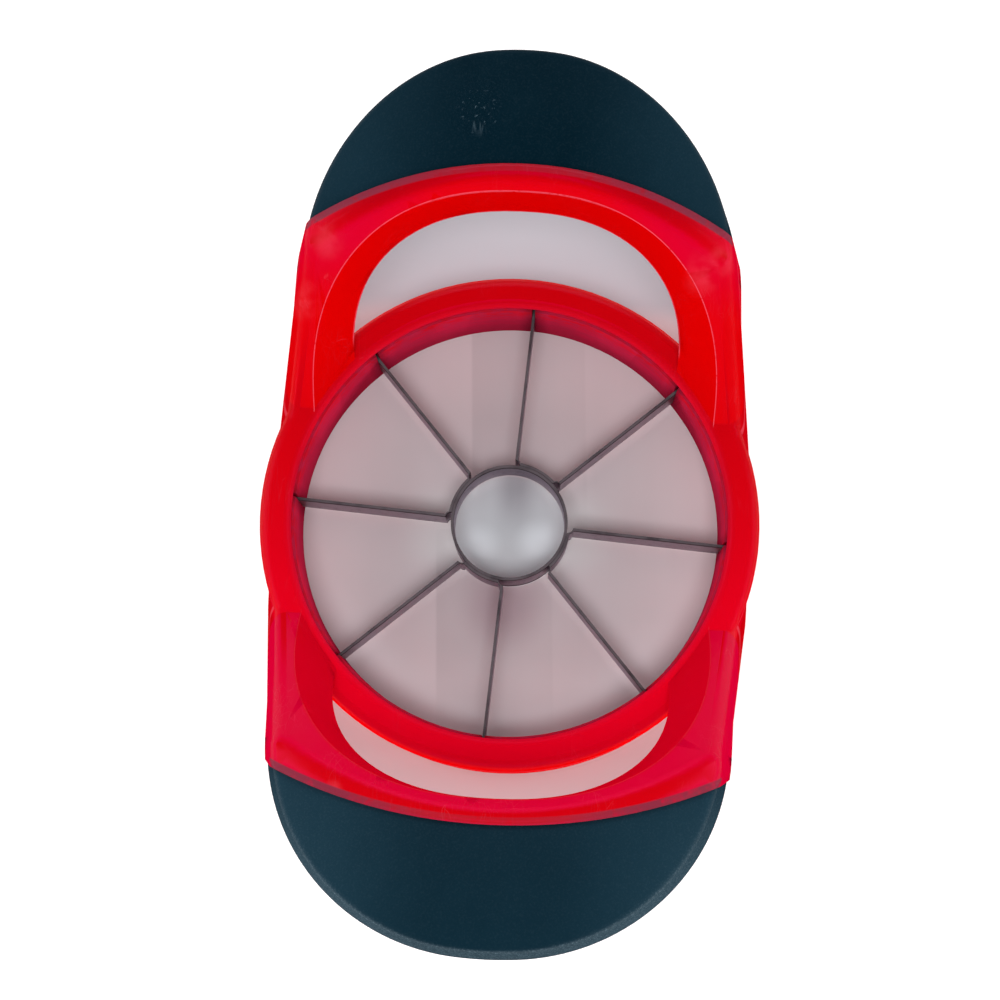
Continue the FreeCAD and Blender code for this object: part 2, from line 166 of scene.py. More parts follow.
def tint(tree, colour, other, mask, strength=1.0):
    """The colour, with another one laid over it where the mask is up."""
    if strength != 1.0:
        mask = times(tree, mask, strength)
    return blend(tree, mask, colour, other)


def bump(tree, height, distance_mm, normal=None):
    """A bump whose full height is given in millimetres."""
    inputs = {"Height": height, "Distance": distance_mm * MM, "Strength": 1.0}
    if normal is not None:
        inputs["Normal"] = normal
    return node(tree, "ShaderNodeBump", inputs).outputs["Normal"]


def point(tree, **parts):
    """A vector from its X, Y and Z, where a part left out is 0."""
    return node(tree, "ShaderNodeCombineXYZ", parts).outputs[0]


def places(tree):
    """The object's own coordinates in millimetres, and the same split into x, y and z."""
    coordinates = node(tree, "ShaderNodeTexCoord").outputs["Object"]
    vector = stretch(tree, coordinates, (1 / MM, 1 / MM, 1 / MM))
    split = node(tree, "ShaderNodeSeparateXYZ", {0: vector})
    return vector, split.outputs["X"], split.outputs["Y"], split.outputs["Z"]


def radius_of(tree, x, y):
    """The distance from the Z axis, or from another point when x and y are counted from it."""
    made = node(tree, "ShaderNodeVectorMath", {0: point(tree, X=x, Y=y)}, operation="LENGTH")
    return made.outputs["Value"]


def spot(tree, x, y, centre_x, centre_y):
    """The level distance from one place."""
    return radius_of(tree, minus(tree, x, centre_x), minus(tree, y, centre_y))


def upward(tree):
    """1 on a level top, 0 on an upright wall and less below."""
    normal = node(tree, "ShaderNodeNewGeometry").outputs["Normal"]
    return node(tree, "ShaderNodeSeparateXYZ", {0: normal}).outputs["Z"]


def scratches(tree, vector, turn, scale, thinness):
    """Sparse thin lines in one direction: 1 on a line and 0 away from it."""
    tilt = (0.3, 0.2, turn)
    scales = (scale, scale * 0.06, scale * 0.4)
    inputs = {"Vector": vector, "Rotation": tilt, "Scale": scales}
    mapped = node(tree, "ShaderNodeMapping", inputs).outputs[0]
    inputs = {"Vector": mapped, "Scale": 1.0}
    cells = node(tree, "ShaderNodeTexVoronoi", inputs, feature="DISTANCE_TO_EDGE")
    line = fade(tree, cells.outputs["Distance"], thinness, 0.0)
    patch = fade(tree, noise(tree, vector, scale=0.11), 0.52, 0.66)
    return times(tree, line, patch)


def material(name):
    """A new material with its Principled shader ready."""
    made = bpy.data.materials.new(name)
    made.use_nodes = True
    return made, made.node_tree, made.node_tree.nodes["Principled BSDF"]


# ---------------------------------------------------------------- colours

# RED and RED_DEEP are the plastic's own tones. RED_PALE serves scratches and painted highlights.
RED = (0.520, 0.0005, 0.0040, 1.0)
RED_DEEP = (0.430, 0.0004, 0.0030, 1.0)
# Besides RED_PALE, the others are painted light: red painted lit or shaded, and painted
# reflections.
RED_BRIGHT = (0.660, 0.0002, 0.0006, 1.0)
RED_PALE = (0.820, 0.120, 0.180, 1.0)
RED_ROSE = (0.560, 0.0003, 0.0260, 1.0)
RED_CREST = (0.360, 0.0003, 0.0040, 1.0)
RED_FLANK = (0.580, 0.0003, 0.0120, 1.0)
RED_NEAR = (0.700, 0.0003, 0.0140, 1.0)
RED_GLOW = (0.950, 0.0002, 0.0010, 1.0)
CREST_GREY = (0.210, 0.0220, 0.0440, 1.0)
PINK_GLOSS = (1.0, 0.0, 0.22, 1.0)

# Red plastic painted in shade, for the wall inside the ring. MAROON_LINE also draws a dark joint
# line.
MAROON = (0.700, 0.0110, 0.0580, 1.0)
MAROON_DARK = (0.400, 0.0190, 0.0560, 1.0)
MAROON_LINE = (0.080, 0.0040, 0.0120, 1.0)

# NAVY_DEEP and NAVY are the rubber's tones; the grips are painted lighter at their sides and
# front.
NAVY = (0.0080, 0.0270, 0.0420, 1.0)
NAVY_DEEP = (0.0003, 0.0042, 0.0080, 1.0)
NAVY_GLOSS = (0.05, 0.60, 1.0, 1.0)
# Scuffs, and a painted highlight along the front rim.
SCUFF_AND_SHEEN = (0.092, 0.140, 0.172, 1.0)

STEEL = (0.345, 0.300, 0.331, 1.0)
STEEL_DARK = (0.150, 0.125, 0.142, 1.0)
STEEL_STAIN = (0.060, 0.050, 0.057, 1.0)
# Painted light: shade on a strip's edges, and a highlight on its top.
STEEL_EDGE_SHADE = (0.012, 0.009, 0.012, 1.0)
STEEL_TOP_HIGHLIGHT = (0.088, 0.075, 0.084, 1.0)
STEEL_GLOSS = (0.86, 0.77, 0.84, 1.0)

WHITE = (1.0, 1.0, 1.0, 1.0)
FLOOR_WHITE = (0.86, 0.86, 0.86, 1.0)
# The tones below paint the shade and light on the floor under the object.
FLOOR_SHADE = (0.65, 0.572, 0.598, 1.0)
FLOOR_STRIPE = (0.560, 0.490, 0.515, 1.0)
FLOOR_GREY = (0.700, 0.690, 0.700, 1.0)
FLOOR_PINK = (0.430, 0.320, 0.360, 1.0)
FLOOR_FAR = (0.455, 0.463, 0.503, 1.0)
FLOOR_NEAR = (0.74, 0.700, 0.730, 1.0)
FLOOR_CORE = (0.610, 0.620, 0.655, 1.0)
FLOOR_CORE_DARK = (0.400, 0.395, 0.430, 1.0)
FLOOR_CORE_LIGHT = (0.800, 0.825, 0.870, 1.0)


# ---------------------------------------------------------------- moulded frame

# Where the handles are painted lit, rosy or shaded, and where the tops are polished.
WALL_SLOPE = (0.90, 0.35)
HANDLE_SLOPE = (0.92, 0.80)
CREST_SLOPE = (0.25, 0.50)
FRAME_POLISH_SLOPE = (0.50, 0.75)
FRAME_POLISH = 0.08

# Distances outside the ridge of a hand opening.
WALL_REACH_MM = (2.5, 0.5)
HANDLE_REACH_MM = (-0.2, 0.4)
CREST_REACH_MM = (0.5, 4.0)

# Heights, distances along Y and distances from the middle of X on the handles.
HANDLE_FOOT_MM = (RING_TOP_MM, RING_TOP_MM + 0.5)
RAILS_FROM_MM = (10.0, 20.0)
CREST_FROM_MM = (50.0, 57.0)
CORNERS_FROM_MM = (38.0, 50.0)
CORNERS_ASIDE_MM = (12.0, 32.0)

# Painted highlights, soft pale sheens on the handles: x, y and radius.
SHEENS_MM = (
    (-37.1, 48.7, 4.0),
    (-42.0, 39.1, 4.0),
    (36.4, 45.9, 4.5),
    (40.0, 48.0, 3.5),
    (-29.0, -56.8, 2.5),
)
SHEEN_CORE_MM = 0.5

# Painted light: the ring's top brightens towards the front, where a glow is painted on its outer
# edge.
RING_NEAR_MM = (15.0, -45.0)
RING_INSIDE_MM = (RING_SIDE_MM + 1.2, RING_SIDE_MM + 0.6)
RING_LEVEL_MM = (RING_TOP_MM + 0.3, RING_TOP_MM + 0.1)
GLOW_RADIUS_MM = (RING_SIDE_MM - 1.0, RING_SIDE_MM)
GLOW_ASIDE_MM = (38.0, 34.0)
# Painted shade: the top of the inner wall is painted maroon.
INNER_WALL_MM = (RING_RIM_MM + 0.4, RING_BORE_MM)
INNER_DEPTH_MM = (17.8, 14.8)

# Painted highlights along edges, and the painted reflection on the crest beside each grip.
SLOPE_BAND_MM = (-0.4, 0.4, 0.2)
RIDGE_BAND_MM = (-0.02, 0.05, 0.07)
LIP_BAND_MM = (LIP_DEPTH_MM, LIP_DEPTH_MM + 0.5, 0.15)
LIP_FROM_MM = (34.0, 36.0)
RIM_RADIUS_MM = (RING_SIDE_MM, RING_SIDE_MM + 0.1)
RIM_BAND_MM = (14.1, 15.0, 0.2)
CREST_BAND_MM = (-0.5, 1.2, 0.35)
CREST_ENDS_MM = (4.0, 30.0)


def ridge_offset(tree, x, side):
    """How far a point lies outside the ridge round a hand opening, in millimetres."""
    across = calc(tree, "DIVIDE", unsigned(tree, x), RIDGE_HALF_WIDTH_MM)
    along = calc(tree, "DIVIDE", minus(tree, side, RIDGE_START_MM), RIDGE_LENGTH_MM)
    along = most(tree, along, 0.0)
    across = calc(tree, "POWER", across, RIDGE_SQUARENESS)
    along = calc(tree, "POWER", along, RIDGE_SQUARENESS)
    ratio = calc(tree, "POWER", plus(tree, across, along), 1 / RIDGE_SQUARENESS)
    return times(tree, minus(tree, ratio, 1.0), RIDGE_LENGTH_MM)


def edge_highlights(tree, vector, x, y, z):
    """Painted highlights, pale dotted lines: on the ridges, the far opening's lip and the ring's
    outer edge.
    """
    side = unsigned(tree, y)
    depth = minus(tree, plus(tree, side, RING_TOP_MM - RISE_START_MM), z)
    dots = fade(tree, noise(tree, vector, scale=0.8, detail=3.0, roughness=0.6), 0.28, 0.46)
    stronger_behind = plus(tree, fade(tree, y, *BACK_HALF_MM), 0.15)
    ridge = band(tree, ridge_offset(tree, x, side), *RIDGE_BAND_MM)
    ridge = times(tree, ridge, band(tree, depth, *SLOPE_BAND_MM), dots, stronger_behind)
    lip = times(tree, band(tree, depth, *LIP_BAND_MM), fade(tree, y, *LIP_FROM_MM))
    rim = fade(tree, radius_of(tree, x, y), *RIM_RADIUS_MM)
    rim = times(tree, rim, band(tree, z, *RIM_BAND_MM), 0.7)
    return most(tree, ridge, lip, rim)


def crest_reflection(tree, vector, x, y, rise):
    """1 on a painted greyish reflection on the crest beside a grip, patchy and strongest towards
    its ends.
    """
    from_centre = plus(tree, unsigned(tree, y), GRIP_EDGE_RADIUS_MM - GRIP_EDGE_MM)
    inside = minus(tree, GRIP_EDGE_RADIUS_MM, radius_of(tree, x, from_centre))
    strip = band(tree, inside, *CREST_BAND_MM)
    patch = fade(tree, noise(tree, vector, scale=0.35, detail=4.0, roughness=0.6), 0.10, 0.50)
    ends = fade(tree, unsigned(tree, x), *CREST_ENDS_MM)
    strength = plus(tree, times(tree, ends, 0.65), 0.33)
    return times(tree, strip, strength, fade(tree, rise, *CREST_SLOPE), patch)


def gloss_of(tree, vector, lines, base):
    """Roughness that drifts over the surface and is higher on scratches."""
    haze = noise(tree, vector, scale=0.09, detail=3.0)
    gloss = plus(tree, times(tree, haze, 0.14), base)
    return plus(tree, gloss, times(tree, lines, 0.20))


def moulded(shader):
    """Settings that both glossy moulded plastics share."""
    shader.inputs["IOR"].default_value = 1.49
    shader.inputs["Specular Tint"].default_value = PINK_GLOSS
    shader.inputs["Subsurface Weight"].default_value = 0.10
    shader.inputs["Subsurface Radius"].default_value = (1.0, 0.10, 0.10)
    shader.inputs["Subsurface Scale"].default_value = 1.5 * MM


def polish(tree, shader, rise, slope, level):
    """Gloss on the faces that look up, and none on the walls."""
    shader.inputs["Specular IOR Level"].default_value = level
    amount = times(tree, fade(tree, rise, *slope), level)
    tree.links.new(amount, shader.inputs["Specular IOR Level"])


def handle_tones(tree, colour, x, y, z, rise):
    """Painted light: lit walls inside the ridges and rails, rosy reflections on the front and
    corners, and a shaded far crest.
    """
    beyond_ridge = ridge_offset(tree, x, unsigned(tree, y))
    walls = times(tree, fade(tree, rise, *WALL_SLOPE), fade(tree, beyond_ridge, *WALL_REACH_MM))
    # Painted light: the walls inside the ridges are painted brighter.
    flank = blend(tree, fade(tree, y, *FRONT_HALF_MM), RED_BRIGHT, RED_FLANK)
    colour = tint(tree, colour, flank, walls)
    handles = times(
        tree,
        fade(tree, rise, *HANDLE_SLOPE),
        fade(tree, beyond_ridge, *HANDLE_REACH_MM),
        fade(tree, z, *HANDLE_FOOT_MM),
    )
    # Painted light: the back rails are painted brighter.
    rails = times(tree, handles, fade(tree, y, *RAILS_FROM_MM))
    colour = tint(tree, colour, RED_BRIGHT, rails, strength=0.5)
    # Painted reflection: the front handles and the far corners are painted rosy.
    aside = fade(tree, unsigned(tree, x), *CORNERS_ASIDE_MM)
    corners = times(tree, fade(tree, y, *CORNERS_FROM_MM), aside)
    rosy = plus(tree, fade(tree, y, *FRONT_HALF_MM), times(tree, corners, 0.6))
    colour = tint(tree, colour, RED_ROSE, times(tree, handles, rosy))
    # Painted shade: the far crest is painted darker.
    crest = times(tree, fade(tree, beyond_ridge, *CREST_REACH_MM), fade(tree, y, *CREST_FROM_MM))
    return tint(tree, colour, RED_CREST, crest)


def sheen_tones(tree, colour, vector, x, y):
    """Painted highlights: soft pale sheens on the handles."""
    patch = fade(tree, noise(tree, vector, scale=0.22, detail=3.0), 0.30, 0.70)
    for centre_x, centre_y, radius in SHEENS_MM:
        sheen = fade(tree, spot(tree, x, y, centre_x, centre_y), radius, SHEEN_CORE_MM)
        colour = tint(tree, colour, RED_PALE, times(tree, sheen, patch), strength=0.16)
    return colour


def ring_tones(tree, colour, x, y, z):
    """Painted light and shade: the ring's top and outer edge brighter towards the front, its
    inner wall maroon.
    """
    radius = radius_of(tree, x, y)
    on_ring = times(tree, fade(tree, radius, *RING_INSIDE_MM), fade(tree, z, *RING_LEVEL_MM))
    # Painted light on the ring's top towards the front.
    near = times(tree, on_ring, fade(tree, y, *RING_NEAR_MM))
    colour = tint(tree, colour, RED_NEAR, near, strength=0.85)
    # A painted glow on the ring's outer edge at the front.
    outer = times(tree, near, fade(tree, radius, *GLOW_RADIUS_MM))
    outer = times(tree, outer, fade(tree, unsigned(tree, x), *GLOW_ASIDE_MM))
    colour = tint(tree, colour, RED_GLOW, outer)
    # Painted shade: maroon at the top of the inner wall.
    inner = times(tree, fade(tree, radius, *INNER_WALL_MM), fade(tree, z, *INNER_DEPTH_MM))
    return tint(tree, colour, MAROON, inner, strength=0.6)


def frame_plastic():
    """Glossy red plastic with flow marks and scratches, and painted light: brighter walls,
    sheens, edge highlights and shade.
    """
    made, tree, shader = material("frame_plastic_look")
    vector, x, y, z = places(tree)
    rise = upward(tree)
    flow = noise(tree, stretch(tree, vector, (0.05, 0.03, 0.12)), detail=3.0)
    mottle = noise(tree, vector, scale=1.4, detail=4.0, roughness=0.6)
    tone = plus(tree, times(tree, flow, 0.75), times(tree, mottle, 0.25))
    colour = tint(tree, RED, RED_DEEP, tone, strength=0.6)
    # Painted light and shade on the handles, their sheens and the ring.
    colour = handle_tones(tree, colour, x, y, z, rise)
    colour = sheen_tones(tree, colour, vector, x, y)
    colour = ring_tones(tree, colour, x, y, z)
    marks = scratches(tree, vector, turn=0.5, scale=0.9, thinness=0.012)
    lines = most(tree, marks, scratches(tree, vector, turn=2.1, scale=0.7, thinness=0.010))
    colour = tint(tree, colour, RED_PALE, lines, strength=0.09)
    # A painted reflection on each crest, and painted highlights along the edges.
    colour = tint(tree, colour, CREST_GREY, crest_reflection(tree, vector, x, y, rise))
    colour = tint(tree, colour, RED_PALE, edge_highlights(tree, vector, x, y, z), strength=0.42)
    tree.links.new(colour, shader.inputs["Base Color"])
    tree.links.new(gloss_of(tree, vector, lines, base=0.13), shader.inputs["Roughness"])
    skin = plus(tree, noise(tree, vector, scale=0.35), times(tree, mottle, 0.10))
    normal = bump(tree, skin, distance_mm=0.045)
    normal = bump(tree, minus(tree, 1.0, lines), distance_mm=0.010, normal=normal)
    tree.links.new(normal, shader.inputs["Normal"])
    moulded(shader)
    polish(tree, shader, rise, FRAME_POLISH_SLOPE, FRAME_POLISH)
    return made


# ---------------------------------------------------------------- blade carrier

# Painted shade at the foot, painted light at the head, a joint line under the rim, and painted
# blade shadows.
CARRIER_FOOT_MM = (9.0, 0.0)
CARRIER_HEAD_MM = (8.0, 14.5)
UNDER_RIM_MM = (CARRIER_TOP_MM - 0.5, CARRIER_TOP_MM - 0.2)
BESIDE_BLADE_MM = (3.5, 0.2)

# Whole turns that keep an angle above 0 before it is taken modulo the blades' pitch.
WHOLE_TURNS = 2 * math.tau


def beside_blades(tree, x, y):
    """1 close to a blade's end, round the inner wall."""
    turn = plus(tree, calc(tree, "ARCTAN2", y, x), BLADE_TURN + WHOLE_TURNS)
    place = calc(tree, "MODULO", turn, BLADE_PITCH)
    nearest = calc(tree, "MINIMUM", place, minus(tree, BLADE_PITCH, place))
    return fade(tree, times(tree, nearest, RING_BORE_MM), *BESIDE_BLADE_MM)


def carrier_plastic():
    """The wall inside the ring painted in shade: lit red near its top, painted shadows beside the
    blade ends.
    """
    made, tree, shader = material("carrier_plastic_look")
    vector, x, y, z = places(tree)
    cloud = noise(tree, stretch(tree, vector, (0.10, 0.10, 0.35)), detail=3.0, roughness=0.6)
    streaks = noise(tree, stretch(tree, vector, (0.35, 0.35, 0.9)), detail=4.0, roughness=0.65)
    colour = tint(tree, MAROON, MAROON_DARK, cloud, strength=0.7)
    # Painted shade: darker towards the foot.
    colour = tint(tree, colour, MAROON_DARK, fade(tree, z, *CARRIER_FOOT_MM), strength=0.6)
    # Painted light near the top, with streaky painted reflections.
    high = times(tree, fade(tree, z, *CARRIER_HEAD_MM), fade(tree, streaks, 0.35, 0.60))
    colour = tint(tree, colour, RED_BRIGHT, high, strength=0.7)
    colour = tint(tree, colour, MAROON_DARK, fade(tree, streaks, 0.62, 0.42), strength=0.35)
    # Painted shadows of the blades beside their ends.
    colour = tint(tree, colour, MAROON_LINE, beside_blades(tree, x, y), strength=0.6)
    colour = tint(tree, colour, MAROON_LINE, fade(tree, z, *UNDER_RIM_MM), strength=0.45)
    tree.links.new(colour, shader.inputs["Base Color"])
    marks = scratches(tree, vector, turn=1.2, scale=0.8, thinness=0.012)
    tree.links.new(gloss_of(tree, vector, marks, base=0.20), shader.inputs["Roughness"])
    skin = noise(tree, vector, scale=0.5, detail=3.0)
    tree.links.new(bump(tree, skin, distance_mm=0.04), shader.inputs["Normal"])
    moulded(shader)
    shader.inputs["Specular IOR Level"].default_value = 0.0
    return made


# ---------------------------------------------------------------- grips

GRIP_POLISH_SLOPE = (0.35, 0.70)
GRIP_POLISH = 0.06
# Painted light: the rubber is painted lighter at its sides and front, and along its front rim.
GRIP_SIDES_MM = (8.0, 34.0)
GRIP_FRONT_MM = (10.0, -10.0)
GRIP_RIM_SLOPE = (0.98, 0.40)
GRIP_WEAR_AND_SHEEN_MM = (-42.0, -82.0)
RUB_PLACE_MM = (-8.3, 71.1)
RUB_RADIUS_MM = (5.0, 2.0)


def rubbed_patch(tree, vector, x, y):
    """A few short pale rubs at one place of the far grip."""
    lines = scratches(tree, vector, turn=0.2, scale=0.8, thinness=0.10)
    specks = noise(tree, vector, scale=1.3, detail=4.0, roughness=0.7)
    rubs = most(tree, lines, fade(tree, specks, 0.60, 0.68))
    return times(tree, rubs, fade(tree, spot(tree, x, y, *RUB_PLACE_MM), *RUB_RADIUS_MM))


def grip_rubber():
    """Matte over-moulded rubber with a fine grain and pale rubs, painted lighter at its sides and
    front, and a worn rim at the front with a painted highlight.
    """
    made, tree, shader = material("grip_rubber_look")
    vector, x, y = places(tree)[:3]
    rise = upward(tree)
    cloud = noise(tree, vector, scale=0.06, detail=4.0, roughness=0.6)
    grain = noise(tree, vector, scale=5.5, detail=3.0, roughness=0.65)
    # Painted light: lighter towards the sides and the front.
    sides = times(tree, fade(tree, unsigned(tree, x), *GRIP_SIDES_MM), 0.45)
    front = times(tree, fade(tree, y, *GRIP_FRONT_MM), 0.32)
    light = plus(tree, plus(tree, sides, front), times(tree, cloud, 0.25))
    colour = blend(tree, light, NAVY_DEEP, NAVY)
    speckle = noise(tree, vector, scale=2.6, detail=4.0, roughness=0.7)
    # A worn, speckled rim at the front, with a painted highlight along it.
    rim = times(tree, fade(tree, rise, *GRIP_RIM_SLOPE), fade(tree, y, *GRIP_WEAR_AND_SHEEN_MM))
    speckled = plus(tree, times(tree, rim, 0.65), 0.03)
    worn = times(tree, fade(tree, speckle, 0.48, 0.66), speckled)
    colour = tint(tree, colour, SCUFF_AND_SHEEN, plus(tree, worn, times(tree, rim, 0.28)))
    colour = tint(tree, colour, SCUFF_AND_SHEEN, rubbed_patch(tree, vector, x, y), strength=0.55)
    tree.links.new(colour, shader.inputs["Base Color"])
    rough = plus(tree, times(tree, grain, 0.16), 0.50)
    tree.links.new(rough, shader.inputs["Roughness"])
    tree.links.new(bump(tree, grain, distance_mm=0.05), shader.inputs["Normal"])
    shader.inputs["Specular Tint"].default_value = NAVY_GLOSS
    polish(tree, shader, rise, GRIP_POLISH_SLOPE, GRIP_POLISH)
    return made


# ---------------------------------------------------------------- steel

# Painted shade along a strip's low and top edges, and a painted highlight on its top face.
LOW_EDGE_MM = (BLADE_LOW_MM + 1.8, BLADE_LOW_MM + 1.0)
TOP_EDGE_MM = (BLADE_TOP_MM - 1.5, BLADE_TOP_MM - 0.8)
CROWN_MM = (BLADE_TOP_MM - 0.08, BLADE_TOP_MM - 0.02)


def rolled_grain(tree, x, y, z):
    """Noise drawn out along a blade or round the tube, and fine from its foot to its top."""
    angle = calc(tree, "ARCTAN2", y, x)
    along = plus(tree, radius_of(tree, x, y), times(tree, angle, TUBE_RADIUS_MM))
    place = point(tree, X=times(tree, along, 0.10), Y=times(tree, z, 6.0), Z=angle)
    return noise(tree, place, detail=4.0, roughness=0.7)


def blade_steel(name, tone):
    """Rolled strip steel: grain along the strip, stains and pits, painted dark edges and a
    painted highlight on top.
    """
    made, tree, shader = material(name)
    vector, x, y, z = places(tree)
    grain = rolled_grain(tree, x, y, z)
    stain = noise(tree, vector, scale=0.45, detail=4.0, roughness=0.65)
    stain = fade(tree, stain, 0.50, 0.72)
    pits = noise(tree, vector, scale=2.8, detail=3.0, roughness=0.6)
    pits = fade(tree, pits, 0.60, 0.72)
    colour = tint(tree, STEEL, STEEL_DARK, grain, strength=tone)
    colour = tint(tree, colour, STEEL_DARK, stain, strength=0.45)
    colour = tint(tree, colour, STEEL_STAIN, pits, strength=0.55)
    # Painted shade: dark, not metallic, along the low and top edges.
    edges = most(tree, fade(tree, z, *LOW_EDGE_MM), fade(tree, z, *TOP_EDGE_MM))
    edges = times(tree, edges, 0.90)
    colour = tint(tree, colour, STEEL_EDGE_SHADE, edges)
    # A painted highlight in patches on the top face.
    top_patches = fade(tree, noise(tree, vector, scale=0.25, detail=3.0), 0.20, 0.60)
    crown = times(tree, fade(tree, z, *CROWN_MM), top_patches)
    colour = tint(tree, colour, STEEL_TOP_HIGHLIGHT, crown)
    tree.links.new(colour, shader.inputs["Base Color"])
    rough = plus(tree, times(tree, grain, 0.22), 0.24)
    rough = plus(tree, rough, times(tree, stain, 0.14))
    tree.links.new(rough, shader.inputs["Roughness"])
    height = minus(tree, grain, times(tree, pits, 0.8))
    tree.links.new(bump(tree, height, distance_mm=0.02), shader.inputs["Normal"])
    tree.links.new(minus(tree, 1.0, edges), shader.inputs["Metallic"])
    shader.inputs["Specular IOR Level"].default_value = 0.0
    shader.inputs["Specular Tint"].default_value = STEEL_GLOSS
    shader.inputs["Anisotropic"].default_value = 0.45
    return made


# ---------------------------------------------------------------- dressing the frame

WELD_DISTANCE = 1e-6
BEVEL_SEGMENTS = 2
BEVEL_ANGLE = math.radians(45)
CARRIER_BEVEL_MM = 0.08
GRIP_BEVEL_MM = 0.15
STEEL_BEVEL_MM = 0.06


def dress(name, look, bevel_mm=0.0):
    """Gives a CAD node its material, joins its mesh and may round its sharp edges a little."""
    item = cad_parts[name]
    item.material_slots[0].material = look
    weld = item.modifiers.new("weld", "WELD")
    weld.merge_threshold = WELD_DISTANCE
    if bevel_mm == 0:
        return
    soften = item.modifiers.new("soften", "BEVEL")
    soften.width = bevel_mm * MM
    soften.segments = BEVEL_SEGMENTS
    soften.limit_method = "ANGLE"
    soften.angle_limit = BEVEL_ANGLE
    soften.use_clamp_overlap = True
    soften.harden_normals = True


def dress_all():
    """Dresses every node of the frame."""
    dress("body_frame", frame_plastic())
    dress("blade_carrier_ring", carrier_plastic(), CARRIER_BEVEL_MM)
    grips = grip_rubber()
    for name in ("grip_back", "grip_front"):
        dress(name, grips, GRIP_BEVEL_MM)
    strip_look = blade_steel("blade_steel_look", tone=0.7)
    for name in sorted(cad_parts):
        if name.startswith("blade_strip"):
            dress(name, strip_look, STEEL_BEVEL_MM)
    dress("core_ring", blade_steel("tube_steel_look", tone=0.5), STEEL_BEVEL_MM)


# ---------------------------------------------------------------- floor

FLOOR_RADIUS = 0.75
FLOOR_SIDES = 96
FLOOR_DROP_MM = 0.02
FLOOR_LIFT = 0.30

# The floor painted greyer in shade fills a stadium: its middle's y, half its straight part, and
# its soft edge.
SHADE_MIDDLE_MM = 3.0
SHADE_STRAIGHT_MM = 35.0
SHADE_RADIUS_MM = (49.0, 45.5)

# A soft painted stripe of shade under the blades, further right in the back half, and a left side
# painted darker.
STRIPE_BAND_MM = (-15.5, 8.5, 0.7)
STRIPE_FADE_MM = (-15.5, 6.0)
STRIPE_LEAN = 0.05
STRIPE_SHIFT_MM = 7.8
STRIPE_STEP_MM = (-0.5, 0.5)
LEFT_SIDE_MM = (-16.0, -26.0)

# Painted shade and light under the two hand openings, and painted light round the tube and the
# ring's front.
# A painted shadow in front of the tube.
FAR_OPENING_MM = (46.0, 52.0)
NEAR_OPENING_MM = (-46.0, -50.0)
ROUND_TUBE_MM = (26.0, 14.0)
BESIDE_TUBE_MM = (12.0, 4.0)
RING_FRONT_RADIUS_MM = (32.0, 45.0)
RING_FRONT_MM = (-4.0, -28.0)
TUBE_SHADOW_PLACE_MM = (-0.5, -16.0)
TUBE_SHADOW_RADIUS_MM = (12.0, 2.0)

# Seen through the tube: a painted dark stripe of shade at the back, and two lobes and a foot
# painted light.
CORE_RADIUS_MM = (TUBE_RADIUS_MM + 0.2, TUBE_RADIUS_MM - 0.6)
CORE_MIDDLE_MM = 0.8
CORE_STRIPE_MM = (6.0, 0.5)
CORE_BACK_MM = (-4.0, 10.0)
LEFT_LOBE_PLACE_MM = (-6.5, -3.5)
LEFT_LOBE_RADIUS_MM = (6.0, 1.0)
RIGHT_LOBE_PLACE_MM = (6.5, -2.5)
RIGHT_LOBE_RADIUS_MM = (6.5, 1.0)
FOOT_RADIUS_MM = (6.0, 11.0)
FOOT_FRONT_MM = (1.0, -7.0)


def seen(tree):
    """1 for rays that come straight from the camera or by way of gloss or glass."""
    path = node(tree, "ShaderNodeLightPath").outputs
    return most(tree, path["Is Camera Ray"], path["Is Glossy Ray"], path["Is Transmission Ray"])


def striped_floor(tree, x, y):
    """The floor painted greyer in shade, with a soft painted stripe, a slow drift across and a
    darker left side.
    """
    shift = times(tree, fade(tree, y, *STRIPE_STEP_MM), STRIPE_SHIFT_MM)
    place = minus(tree, plus(tree, x, times(tree, y, STRIPE_LEAN)), shift)
    weaker = times(tree, fade(tree, place, *STRIPE_FADE_MM), 0.6)
    stripe = times(tree, band(tree, place, *STRIPE_BAND_MM), minus(tree, 1.0, weaker))
    drift = noise(tree, point(tree, X=place), scale=0.16)
    tone = plus(tree, times(tree, stripe, 0.80), times(tree, drift, 0.30))
    colour = blend(tree, tone, FLOOR_SHADE, FLOOR_STRIPE)
    return tint(tree, colour, FLOOR_STRIPE, fade(tree, x, *LEFT_SIDE_MM), strength=0.45)


def core_floor(tree, x, y):
    """The cooler floor seen through the tube, with painted shade and light."""
    aside = unsigned(tree, minus(tree, x, CORE_MIDDLE_MM))
    dark = times(tree, fade(tree, aside, *CORE_STRIPE_MM), fade(tree, y, *CORE_BACK_MM))
    colour = blend(tree, dark, FLOOR_CORE, FLOOR_CORE_DARK)
    left = fade(tree, spot(tree, x, y, *LEFT_LOBE_PLACE_MM), *LEFT_LOBE_RADIUS_MM)
    right = fade(tree, spot(tree, x, y, *RIGHT_LOBE_PLACE_MM), *RIGHT_LOBE_RADIUS_MM)
    foot = fade(tree, radius_of(tree, x, y), *FOOT_RADIUS_MM)
    foot = times(tree, foot, fade(tree, y, *FOOT_FRONT_MM))
    light = most(tree, times(tree, left, 0.8), right, times(tree, foot, 0.8))
    return tint(tree, colour, FLOOR_CORE_LIGHT, light)


